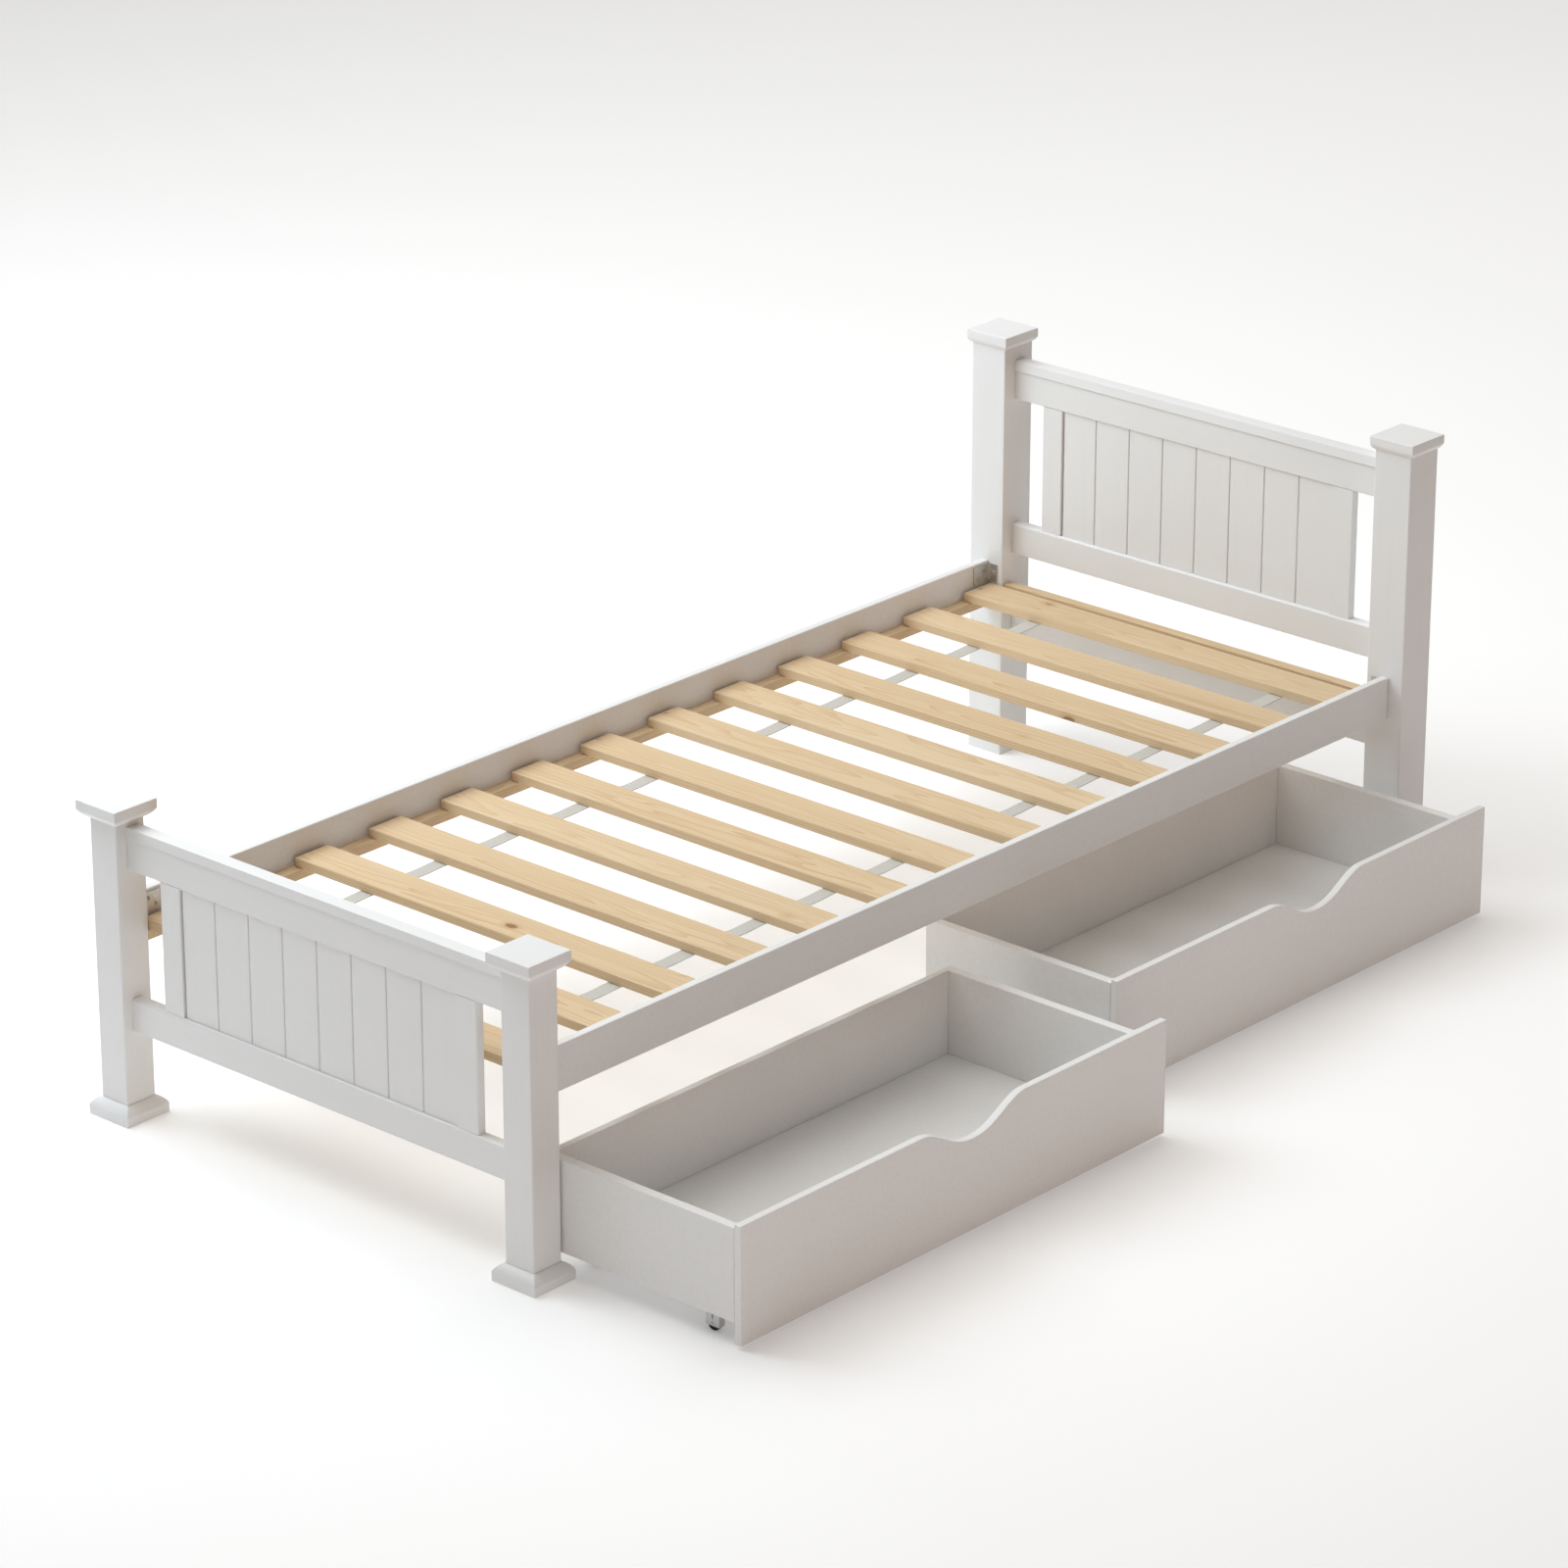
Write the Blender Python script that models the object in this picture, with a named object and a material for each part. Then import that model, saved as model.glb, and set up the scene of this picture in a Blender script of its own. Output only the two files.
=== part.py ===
"""Wooden single bed frame with a slatted base and two rolling under-bed drawers.

Metres. +X is the drawer side, +Y runs from the foot to the head, +Z is up. The
origin is on the top face of the slats, on the bed's centre line and midway
between the foot posts and the head posts. Heights below are taken from the floor.
"""
import math

import bmesh
import bpy
from mathutils import Matrix, Vector

# ---- Driving dimensions ---------------------------------------------------
GAP = 0.0003                # clearance left between two pieces that touch
DECK = 0.303                # floor to the top of the slats
SPAN_Y = 1.9725             # foot post centre to head post centre
FOOT_Y = -SPAN_Y / 2
HEAD_Y = SPAN_Y / 2
POST_X = 0.411              # centre line of the bed to a post's centre

FOOT_POST = 0.055           # square section
HEAD_POST = 0.070
FOOT_POST_TOP = 0.4670
HEAD_POST_TOP = 0.7117
CAP = 0.083                 # square section of caps and plinths
FOOT_CAP_TOP = 0.4948
HEAD_CAP_TOP = 0.7338
CAP_EASE = 0.0020           # how far a cap's top edge is rounded
BLOCK_EASE = 0.0010         # how far a plinth's lowest edge is rounded
FOOT_BLOCK = 0.0278         # height of a foot cap, and of a plinth, which is the same block turned over
# Rounded shoulder between a block's upright faces and the post: in from the faces, beyond their edge.
FOOT_SHOULDER = ((0.0, 0.0), (0.0020, 0.0036), (0.0045, 0.0067), (0.0075, 0.0094), (0.0105, 0.0114),
                 (0.0132, 0.0128))
HEAD_SHOULDER = ((0.0, 0.0), (0.0009, 0.0024), (0.0024, 0.0046), (0.0043, 0.0066), (0.0060, 0.0080))

FOOT_TOP_RAIL = (0.3940, 0.4600)    # lower and upper edge of each rail across an end
FOOT_LOW_RAIL = (0.1409, 0.1921)
HEAD_TOP_RAIL = (0.6215, 0.6875)
HEAD_MID_RAIL = (0.3531, 0.4058)
HEAD_LOW_RAIL = (0.2064, 0.2810)
RAIL_T = 0.0208             # thickness of the plain end rails
RAIL_FRONT = -0.0100        # their front face, from the posts' centre line
RAIL_EASE = 0.0015
FOOT_BAND = 0.4450          # height of the moulded line along each top rail
HEAD_BAND = 0.6705
BAND_FACE = -0.0080         # top rail's face below the moulded line
BAND_PROUD = -0.0105        # foot of the strip above it
BAND_LEAN = 0.0022          # how far that strip leans back at its top
BAND_BACK = 0.0170          # back of that strip
TENON = 0.022               # how far a rail's tenon enters its post
TENON_T = 0.010
BATTEN_T = 0.0197           # bearer for the last slat, on the head end rail
BATTEN_Z = (0.258, 0.304)

SIDE_X = (0.4051, 0.4196)   # side rail, inner and outer face
SIDE_Z = (0.2716, 0.3415)
LEDGER_X = (0.385, 0.4048)
LEDGER_Z = (0.272, 0.2877)
BRACKET_T = 0.0022
BRACKET_LEG = 0.040         # along the side rail
BRACKET_SHORT = 0.0185      # across the post
BRACKET_Z = (0.3065, 0.3365)

PLANK = 0.069               # boards of the end panels
PLANKS = 8
PANEL_T = 0.009
GROOVE = 0.0022             # depth of the V between two boards
VEE = 0.0020                # half the width of that V
STILE_W = 0.0400
STILE_T = 0.015
STILE_EASE = 0.0012
TONGUE = 0.006              # how far the panel's edge enters a stile
TONGUE_T = 0.0044

SLATS = 13
SLAT_W = 0.068
SLAT_T = 0.015
SLAT_L = 0.800
FIRST_SLAT = -0.92295       # centre line of the slat nearest the foot
LAST_SLAT = 0.91485
ROLL_SPLIT = 7              # slats in the foot roll; the rest are in the head roll
TAPE_X = 0.250
TAPE_W = 0.025
TAPE_T = 0.0012
TAPE_END = 0.006            # tape's end, inside the last slat's edge
OVERLAP = 0.0002            # how far two bodies of one piece run into each other

BOARD_L = 0.9124            # drawer front board
BOARD_T = 0.0125
BOARD_Z = (0.0061, 0.1859)
BOX_Z = (0.0382, 0.1802)
BOX_SIDE = 0.0155
BOX_BACK = 0.0120
BOX_L = 0.8627              # outside length of the drawer box, along the bed
DEPTH = 0.3684              # front board's outer face to the back's outer face
BASE_T = 0.008
SCOOP_Y = 0.4835            # centre of the finger scoop, from the board's foot end
SCOOP_W = 0.224
SCOOP_D = 0.0374
SCOOP_POWER = 1.15          # above 1 the scoop's floor is wider than its shoulders

DRAWERS = (
    # name, foot end of the front board (from the foot posts' centre line), front face X
    ("drawer_1", 0.0312, 0.7691),
    ("drawer_2", 1.0015, 0.6308),
)

WHEEL_R = 0.0110
WHEEL_W = 0.0085
WHEEL_EASE = 0.0012
PIN_R = 0.0020
PIN_HEAD = 0.0006           # how far the pin stands out of each cheek
CASTOR_FRONT = 0.070        # front board's outer face to the front wheels
CASTOR_REAR = 0.045         # back's outer face to the rear wheels
FRONT_IN = 0.025            # drawer side's outer face to a front wheel's middle
REAR_IN = 0.060             # and to a rear wheel's middle
CHEEK = 0.0013
CHEEK_GAP = 0.0006          # running clearance beside the wheel
CHEEK_EDGE = ((0.0110, 0.0190), (0.0045, 0.0068))    # half length and height, going down
PLATE = (0.019, 0.016)      # half length and half width of the mounting plate
PLATE_T = 0.0020
HOOD_HALF = 0.0125          # half length of the hood's crown
HOOD_DEEP = 0.0110          # how far the solid crown reaches below the drawer

WHITE = (0.86, 0.85, 0.83)
PINE = (0.72, 0.52, 0.30)
STEEL = (0.62, 0.62, 0.63)
BLACK = (0.03, 0.03, 0.03)

SHARP = math.radians(34.0)  # an edge that turns more than this is softened


# ---- Helpers --------------------------------------------------------------
def clear_scene():
    for obj in list(bpy.data.objects):
        bpy.data.objects.remove(obj, do_unlink=True)


def material(name, colour, metallic=0.0, rough=0.45):
    mat = bpy.data.materials.new(name)
    mat.use_nodes = True
    shader = mat.node_tree.nodes["Principled BSDF"]
    shader.inputs["Base Color"].default_value = (*colour, 1.0)
    shader.inputs["Metallic"].default_value = metallic
    shader.inputs["Roughness"].default_value = rough
    mat.diffuse_color = (*colour, 1.0)
    return mat


def soften(bm, width, segments=1):
    """Break every sharp edge by the same small chamfer or round."""
    if width <= 0.0:
        return
    sharp = [e for e in bm.edges if len(e.link_faces) == 2 and e.calc_face_angle() > SHARP]
    bmesh.ops.bevel(bm, geom=sharp, offset=width, offset_type="OFFSET", segments=segments,
                    profile=0.5, affect="EDGES", clamp_overlap=True)


def finish(name, bm, kind):
    """Store the mesh under its part name, with its own material and origin."""
    bmesh.ops.recalc_face_normals(bm, faces=bm.faces)
    mesh = bpy.data.meshes.new(name)
    bm.to_mesh(mesh)
    bm.free()
    obj = bpy.data.objects.new(name, mesh)
    bpy.context.scene.collection.objects.link(obj)
    obj.location.z = -DECK
    colour, metallic, rough = kind
    mesh.materials.append(material(name + "_mat", colour, metallic, rough))
    return obj


PAINTED = (WHITE, 0.0, 0.42)
BARE_PINE = (PINE, 0.0, 0.60)
BRIGHT = (STEEL, 1.0, 0.35)
TREAD = (BLACK, 0.0, 0.55)


def both(side, pair):
    """A (low, high) pair on the right, or its mirror image on the left."""
    return tuple(sorted((side * pair[0], side * pair[1])))


def box_mesh(x, y, z):
    """A plain box from three (low, high) pairs."""
    bm = bmesh.new()
    centre = Vector((sum(x) / 2, sum(y) / 2, sum(z) / 2))
    size = Vector((x[1] - x[0], y[1] - y[0], z[1] - z[0]))
    place = Matrix.Translation(centre) @ Matrix.Diagonal((*size, 1.0))
    bmesh.ops.create_cube(bm, size=1.0, matrix=place)
    return bm


def box(name, x, y, z, kind=PAINTED, soft=0.0012, segments=1):
    bm = box_mesh(x, y, z)
    soften(bm, soft, segments)
    return finish(name, bm, kind)


def prism_mesh(outline, axis, low, high):
    """Sweep a closed outline along X, Y or Z. The outline's two numbers are the
    other two axes, in X, Y, Z order."""
    bm = bmesh.new()
    ends = []
    for along in (low, high):
        ring = []
        for a, b in outline:
            point = {"X": (along, a, b), "Y": (a, along, b), "Z": (a, b, along)}[axis]
            ring.append(bm.verts.new(point))
        ends.append(ring)
    bm.faces.new(ends[0])
    bm.faces.new(list(reversed(ends[1])))
    count = len(outline)
    for i in range(count):
        j = (i + 1) % count
        bm.faces.new((ends[0][i], ends[1][i], ends[1][j], ends[0][j]))
    bmesh.ops.recalc_face_normals(bm, faces=bm.faces)
    return bm


def square_turned(name, x, y, profile, soft=0.0):
    """A square block that changes width with height: (half width, height) pairs."""
    bm = bmesh.new()
    rings = []
    for half, z in profile:
        corners = ((-half, -half), (half, -half), (half, half), (-half, half))
        rings.append([bm.verts.new((x + a, y + b, z)) for a, b in corners])
    bm.faces.new(list(reversed(rings[0])))
    bm.faces.new(rings[-1])
    for lower, upper in zip(rings, rings[1:]):
        for i in range(4):
            j = (i + 1) % 4
            bm.faces.new((lower[i], lower[j], upper[j], upper[i]))
    soften(bm, soft)
    return finish(name, bm, PAINTED)


def apply_boolean(obj, bm, operation):
    """Join a second mesh to obj, or cut it away."""
    other = finish("tool_body", bm, PAINTED)
    other.hide_render = True
    other.display_type = "WIRE"
    mod = obj.modifiers.new("shape", "BOOLEAN")
    mod.operation = operation
    mod.solver = "EXACT"
    mod.object = other
    graph = bpy.context.evaluated_depsgraph_get()
    result = bpy.data.meshes.new_from_object(obj.evaluated_get(graph))
    obj.modifiers.clear()
    old = obj.data
    keep = old.materials[0]
    name = old.name
    obj.data = result
    bpy.data.meshes.remove(old)
    result.name = name
    result.materials.clear()
    result.materials.append(keep)
    spare = other.data
    bpy.data.objects.remove(other, do_unlink=True)
    for mat in list(spare.materials):
        bpy.data.materials.remove(mat)
    bpy.data.meshes.remove(spare)
    return obj


def cut(obj, bm):
    return apply_boolean(obj, bm, "DIFFERENCE")


def join(obj, bm):
    return apply_boolean(obj, bm, "UNION")


# ---- Posts, caps and plinths ----------------------------------------------
def mortised_post(name, side, y, width, z, tenons):
    """A square post with a pocket on its inner face for each rail's tenon."""
    half = width / 2
    x = side * POST_X
    post = box(name, (x - half, x + half), (y - half, y + half), z, PAINTED, 0.0016, 2)
    face = POST_X - half
    reach = both(side, (face - TENON_T / 2, face + TENON + GAP))
    for middle, low, high in tenons:
        pocket = box_mesh(reach, (y + middle - TENON_T / 2 - GAP, y + middle + TENON_T / 2 + GAP),
                          (low - GAP, high + GAP))
        cut(post, pocket)
    return post


def eased_top(wide, top):
    """The last three levels of a cap, rounded over at its upper edge."""
    near = 0.3 * CAP_EASE
    return [(wide, top - CAP_EASE), (wide - near, top - near), (wide - CAP_EASE, top)]


def cap(name, x, y, low, top, shoulder):
    """Square block on a post, its shoulder spreading up from the post's faces."""
    wide = CAP / 2
    rise = shoulder[-1][1]
    profile = [(wide - inward, low + rise - beyond) for inward, beyond in reversed(shoulder)]
    profile += eased_top(wide, top)
    return square_turned(name, x, y, profile)


def plinth(name, x, y):
    """Foot block: upright faces with a shoulder that closes in on the post."""
    wide = CAP / 2
    wall = FOOT_BLOCK - FOOT_SHOULDER[-1][1]
    profile = [(wide - BLOCK_EASE, 0.0), (wide, BLOCK_EASE)]
    profile += [(wide - inward, wall + beyond) for inward, beyond in FOOT_SHOULDER]
    return square_turned(name, x, y, profile)


# ---- End rails and panels -------------------------------------------------
def end_rail(name, y, post, outline, stub):
    """A rail across the bed with a stub tenon at each end."""
    middle, low, high = stub
    reach = POST_X - post / 2 - GAP
    rail = finish(name, prism_mesh([(y + a, z) for a, z in outline], "X", -reach, reach), PAINTED)
    inner = (y + middle - TENON_T / 2, y + middle + TENON_T / 2)
    return join(rail, box_mesh((-reach - TENON, reach + TENON), inner, (low, high)))


def rounded_top(front, back, top, ease):
    """The upper corners of a rail section, from its back round to its front."""
    near = 0.3 * ease
    return [(back, top - ease), (back - near, top - near), (back - ease, top),
            (front + ease, top), (front + near, top - near), (front, top - ease)]


def plain_outline(z, ease):
    """Upright rail section with eased lower edges and a rounder top."""
    low, high = z
    front, back = RAIL_FRONT, RAIL_FRONT + RAIL_T
    section = [(front + RAIL_EASE, low), (back - RAIL_EASE, low), (back, low + RAIL_EASE)]
    section += rounded_top(front, back, high, ease)
    return section + [(front, low + RAIL_EASE)]


def banded_outline(z, band, ease):
    """Top rail section: the strip above the moulded line stands proud and leans back."""
    low, high = z
    small = 0.0012
    body_back = 0.0100
    section = [(BAND_FACE + small, low), (body_back - small, low), (body_back, low + small),
               (body_back, band - 0.0040), (BAND_BACK - RAIL_EASE, band), (BAND_BACK, band + RAIL_EASE)]
    section += rounded_top(BAND_PROUD + BAND_LEAN, BAND_BACK, high, ease)
    section += [(BAND_PROUD, band + small), (BAND_PROUD + small, band), (BAND_FACE, band - small)]
    return section + [(BAND_FACE, low + small)]


def panel(name, y, z):
    """Boards side by side with V joints on both faces, and a tongue at each edge."""
    half = PLANK * PLANKS / 2
    front, back = y - PANEL_T / 2, y + PANEL_T / 2
    edge_t = TONGUE_T / 2
    tip = half + TONGUE - GAP
    lower = [(-half, front)]
    upper = [(-half, back)]
    for i in range(1, PLANKS):
        x = -half + PLANK * i
        lower += [(x - VEE, front), (x, front + GROOVE), (x + VEE, front)]
        upper += [(x - VEE, back), (x, back - GROOVE), (x + VEE, back)]
    lower.append((half, front))
    upper.append((half, back))
    right = [(half, y - edge_t), (tip, y - edge_t), (tip, y + edge_t), (half, y + edge_t)]
    left = [(-half, y + edge_t), (-tip, y + edge_t), (-tip, y - edge_t), (-half, y - edge_t)]
    outline = lower + right + list(reversed(upper)) + left
    return finish(name, prism_mesh(outline, "Z", z[0] + GAP, z[1] - GAP), PAINTED)


def stile(name, side, y, z):
    """Upright at the panel's edge, with a groove that holds the panel's tongue."""
    near = PLANK * PLANKS / 2 + GAP
    far = near + STILE_W
    half = STILE_T / 2
    slot = TONGUE_T / 2 + GAP
    deep = near + TONGUE
    soft = STILE_EASE
    outline = [(near + soft, y - half), (far - soft, y - half), (far, y - half + soft),
               (far, y + half - soft), (far - soft, y + half), (near + soft, y + half),
               (near, y + half - soft), (near, y + slot), (deep, y + slot), (deep, y - slot),
               (near, y - slot), (near, y - half + soft)]
    outline = [(side * a, b) for a, b in outline]
    return finish(name, prism_mesh(outline, "Z", z[0] + GAP, z[1] - GAP), PAINTED)


def tenon(rail, middle, below, above):
    """A tenon's middle, from the posts' centre line, and its two heights."""
    return middle, rail[0] + below, rail[1] - above


def build_foot_end():
    top = tenon(FOOT_TOP_RAIL, 0.0010, 0.010, 0.018)
    low = tenon(FOOT_LOW_RAIL, 0.0004, 0.008, 0.010)
    panel_z = (FOOT_LOW_RAIL[1], FOOT_TOP_RAIL[0])
    post_z = (FOOT_BLOCK + GAP, FOOT_POST_TOP - GAP)
    for side, word in ((-1, "left"), (1, "right")):
        mortised_post("foot_post_" + word, side, FOOT_Y, FOOT_POST, post_z, (top, low))
        cap("foot_cap_" + word, side * POST_X, FOOT_Y, FOOT_POST_TOP, FOOT_CAP_TOP, FOOT_SHOULDER)
        plinth("foot_plinth_" + word, side * POST_X, FOOT_Y)
        stile("foot_stile_" + word, side, FOOT_Y, panel_z)
    end_rail("foot_top_rail", FOOT_Y, FOOT_POST, banded_outline(FOOT_TOP_RAIL, FOOT_BAND, 0.0025), top)
    end_rail("foot_bottom_rail", FOOT_Y, FOOT_POST, plain_outline(FOOT_LOW_RAIL, 0.0040), low)
    panel("foot_panel", FOOT_Y, panel_z)


def build_head_end():
    top = tenon(HEAD_TOP_RAIL, 0.0010, 0.010, 0.022)
    middle = tenon(HEAD_MID_RAIL, 0.0004, 0.008, 0.010)
    low = tenon(HEAD_LOW_RAIL, 0.0004, 0.010, 0.010)
    panel_z = (HEAD_MID_RAIL[1], HEAD_TOP_RAIL[0])
    post_z = (0.0, HEAD_POST_TOP - GAP)
    for side, word in ((-1, "left"), (1, "right")):
        mortised_post("head_post_" + word, side, HEAD_Y, HEAD_POST, post_z, (top, middle, low))
        cap("head_cap_" + word, side * POST_X, HEAD_Y, HEAD_POST_TOP, HEAD_CAP_TOP, HEAD_SHOULDER)
        stile("head_stile_" + word, side, HEAD_Y, panel_z)
    end_rail("head_top_rail", HEAD_Y, HEAD_POST, banded_outline(HEAD_TOP_RAIL, HEAD_BAND, 0.0035), top)
    end_rail("head_panel_rail", HEAD_Y, HEAD_POST, plain_outline(HEAD_MID_RAIL, 0.0040), middle)
    end_rail("head_end_rail", HEAD_Y, HEAD_POST, plain_outline(HEAD_LOW_RAIL, 0.0020), low)
    panel("head_panel", HEAD_Y, panel_z)
    reach = POST_X - HEAD_POST / 2 - GAP
    front = HEAD_Y + RAIL_FRONT - GAP
    box("head_batten", (-reach, reach), (front - BATTEN_T, front), BATTEN_Z, BARE_PINE, 0.0010)


# ---- Side rails, ledgers, brackets and slats ------------------------------
def bed_clear_y():
    """Foot post's inner face and head post's inner face, less the clearance."""
    return FOOT_Y + FOOT_POST / 2 + GAP, HEAD_Y - HEAD_POST / 2 - GAP


def corner_bracket(name, side, y, turn):
    """Steel angle in the corner between a side rail and a post."""
    outer = SIDE_X[0] - GAP
    inner = outer - BRACKET_SHORT
    near = y + turn * BRACKET_T
    far = y + turn * BRACKET_LEG
    outline = [(outer, y), (outer, far), (outer - BRACKET_T, far), (outer - BRACKET_T, near),
               (inner, near), (inner, y)]
    outline = [(side * a, b) for a, b in outline]
    return finish(name, prism_mesh(outline, "Z", *BRACKET_Z), BRIGHT)


def build_base():
    low_y, high_y = bed_clear_y()
    for side, word in ((-1, "left"), (1, "right")):
        box("side_rail_" + word, both(side, SIDE_X), (low_y, high_y), SIDE_Z, PAINTED, 0.0020, 2)
        box("slat_ledger_" + word, both(side, LEDGER_X), (low_y, high_y), LEDGER_Z, BARE_PINE, 0.0010)
        corner_bracket("bracket_foot_" + word, side, low_y, 1)
        corner_bracket("bracket_head_" + word, side, high_y, -1)


def slat_roll(name, centres):
    """Slats joined by two webbing tapes that run under them."""
    low = DECK - SLAT_T
    half = SLAT_W / 2
    wide = SLAT_L / 2
    body = None
    for y in centres:
        slat = box_mesh((-wide, wide), (y - half, y + half), (low, DECK))
        soften(slat, 0.0012)
        body = finish(name, slat, BARE_PINE) if body is None else join(body, slat)
    ends = (centres[0] - half + TAPE_END, centres[-1] + half - TAPE_END)
    for side in (-1, 1):
        x = both(side, (TAPE_X - TAPE_W / 2, TAPE_X + TAPE_W / 2))
        join(body, box_mesh(x, ends, (low - TAPE_T, low + OVERLAP)))
    return body


def build_slats():
    step = (LAST_SLAT - FIRST_SLAT) / (SLATS - 1)
    centres = [FIRST_SLAT + step * i for i in range(SLATS)]
    slat_roll("slat_roll_foot", centres[:ROLL_SPLIT])
    slat_roll("slat_roll_head", centres[ROLL_SPLIT:])


# ---- Drawers --------------------------------------------------------------
def scoop_outline(start):
    """Front board seen square on, with the S-flanked finger scoop in its top edge."""
    low, high = BOARD_Z
    points = [(start, low), (start + BOARD_L, low), (start + BOARD_L, high)]
    steps = 20
    middle = start + SCOOP_Y
    for i in range(steps + 1):
        across = 1 - 2 * i / steps
        drop = 0.5 * (1 + math.cos(math.pi * abs(across) ** SCOOP_POWER))
        points.append((middle + across * SCOOP_W / 2, high - SCOOP_D * drop))
    points.append((start, high))
    return points


def wheel(name, x, y):
    """Solid wheel with a running bore, its object origin on the pin's axis."""
    bm = bmesh.new()
    bore = PIN_R + GAP
    half = WHEEL_W / 2
    rim = WHEEL_R - WHEEL_EASE
    flat = half - WHEEL_EASE
    profile = [(bore, -half), (rim, -half), (WHEEL_R, -flat), (WHEEL_R, flat), (rim, half), (bore, half)]
    rings = []
    sides = 24
    for i in range(sides):
        turn = 2 * math.pi * i / sides
        rings.append([bm.verts.new((r * math.sin(turn), w, -r * math.cos(turn))) for r, w in profile])
    count = len(profile)
    for i in range(sides):
        a, b = rings[i], rings[(i + 1) % sides]
        for k in range(count):
            m = (k + 1) % count
            bm.faces.new((a[k], a[m], b[m], b[k]))
    obj = finish(name, bm, TREAD)
    obj.location = (x, y, WHEEL_R - DECK)
    return obj


def castor_bracket(name, x, y):
    """Pressed hood: top plate, crown, two cheeks and the pin that carries the wheel."""
    top = BOX_Z[0] - GAP
    under = top - PLATE_T + OVERLAP
    long, wide = PLATE
    plate = box_mesh((x - long, x + long), (y - wide, y + wide), (top - PLATE_T, top))
    soften(plate, 0.0004)
    bracket = finish(name, plate, BRIGHT)
    near = WHEEL_W / 2 + CHEEK_GAP
    far = near + CHEEK
    edge = ((HOOD_HALF, under),) + CHEEK_EDGE
    outline = [(x + half, height) for half, height in edge]
    outline += [(x - half, height) for half, height in reversed(edge)]
    for cheek_y in ((y - far, y - near), (y + near, y + far)):
        join(bracket, prism_mesh(outline, "Y", *cheek_y))
    crown_z = (top - HOOD_DEEP, under + OVERLAP / 2)
    join(bracket, box_mesh((x - HOOD_HALF, x + HOOD_HALF), (y - far, y + far), crown_z))
    pin = bmesh.new()
    turn = Matrix.Translation((x, y, WHEEL_R)) @ Matrix.Rotation(math.pi / 2, 4, "X")
    bmesh.ops.create_cone(pin, cap_ends=True, segments=16, radius1=PIN_R, radius2=PIN_R,
                          depth=2 * (far + PIN_HEAD), matrix=turn)
    return join(bracket, pin)


def build_drawer(name, start, front):
    """One drawer: front board, box and four castors, rolled out to its rest place."""
    foot = FOOT_Y + start
    end = foot + BOX_L
    inside = front - BOARD_T - GAP
    rear = front - DEPTH
    bm = prism_mesh(scoop_outline(foot), "X", front - BOARD_T, front)
    soften(bm, 0.0010)
    finish(name + "_front", bm, PAINTED)
    box(name + "_side_foot", (rear, inside), (foot, foot + BOX_SIDE), BOX_Z)
    box(name + "_side_head", (rear, inside), (end - BOX_SIDE, end), BOX_Z)
    between = (foot + BOX_SIDE + GAP, end - BOX_SIDE - GAP)
    box(name + "_back", (rear, rear + BOX_BACK), between, BOX_Z)
    base_z = (BOX_Z[0], BOX_Z[0] + BASE_T)
    box(name + "_base", (rear + BOX_BACK + GAP, inside), between, base_z, PAINTED, 0.0)
    rows = (("front", front - CASTOR_FRONT, FRONT_IN), ("rear", rear + CASTOR_REAR, REAR_IN))
    for depth_word, x, inward in rows:
        for end_word, y in (("foot", foot + inward), ("head", end - inward)):
            tag = name + "_" + depth_word + "_" + end_word
            castor_bracket(tag + "_bracket", x, y)
            wheel(tag + "_wheel", x, y)


clear_scene()
build_head_end()
build_foot_end()
build_base()
build_slats()
for drawer in DRAWERS:
    build_drawer(*drawer)
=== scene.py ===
"""Looks of a white painted single bed frame with pine slats and two rolling drawers.

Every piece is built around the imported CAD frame, in metres, and rides on its body.
"""
import itertools
import math

import bmesh
import bpy
from mathutils import Matrix, Vector


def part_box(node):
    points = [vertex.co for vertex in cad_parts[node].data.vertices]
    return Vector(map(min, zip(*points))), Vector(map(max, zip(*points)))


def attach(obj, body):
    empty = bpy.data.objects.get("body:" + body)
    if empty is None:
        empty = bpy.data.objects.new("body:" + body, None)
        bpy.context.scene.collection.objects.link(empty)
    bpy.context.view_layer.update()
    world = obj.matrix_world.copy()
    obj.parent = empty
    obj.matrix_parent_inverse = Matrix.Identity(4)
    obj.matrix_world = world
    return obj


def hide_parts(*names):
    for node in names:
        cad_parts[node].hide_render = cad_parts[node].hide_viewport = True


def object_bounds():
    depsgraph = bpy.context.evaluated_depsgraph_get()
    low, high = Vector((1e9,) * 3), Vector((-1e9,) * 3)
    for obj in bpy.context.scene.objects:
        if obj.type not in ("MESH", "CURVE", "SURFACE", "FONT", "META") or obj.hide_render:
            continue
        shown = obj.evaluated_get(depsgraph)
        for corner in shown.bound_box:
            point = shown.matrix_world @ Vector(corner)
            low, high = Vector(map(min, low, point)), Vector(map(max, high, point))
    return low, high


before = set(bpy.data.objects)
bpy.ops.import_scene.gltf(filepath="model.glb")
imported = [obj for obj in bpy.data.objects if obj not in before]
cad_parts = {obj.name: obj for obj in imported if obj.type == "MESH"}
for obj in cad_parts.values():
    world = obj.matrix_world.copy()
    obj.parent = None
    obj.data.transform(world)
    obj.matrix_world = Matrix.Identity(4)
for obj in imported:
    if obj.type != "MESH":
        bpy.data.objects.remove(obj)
CAD_BOX = [list(corner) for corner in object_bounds()]

BED = "bed_frame"
DRAWERS = ("drawer_1", "drawer_2")
SIDES = ((-1, "left"), (1, "right"))
GAP = 0.0003                 # clearance between pieces that touch

# Camera: a three-quarter view of the drawer side and the foot end, from above
CAMERA_AT = (5.7287, -6.4021, 3.4771)
CAMERA_AZIMUTH = 41.869
CAMERA_ELEVATION = 21.866
CAMERA_LENS = 140.49
SENSOR = 36.0
FAR_CLIP = 200.0

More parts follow.
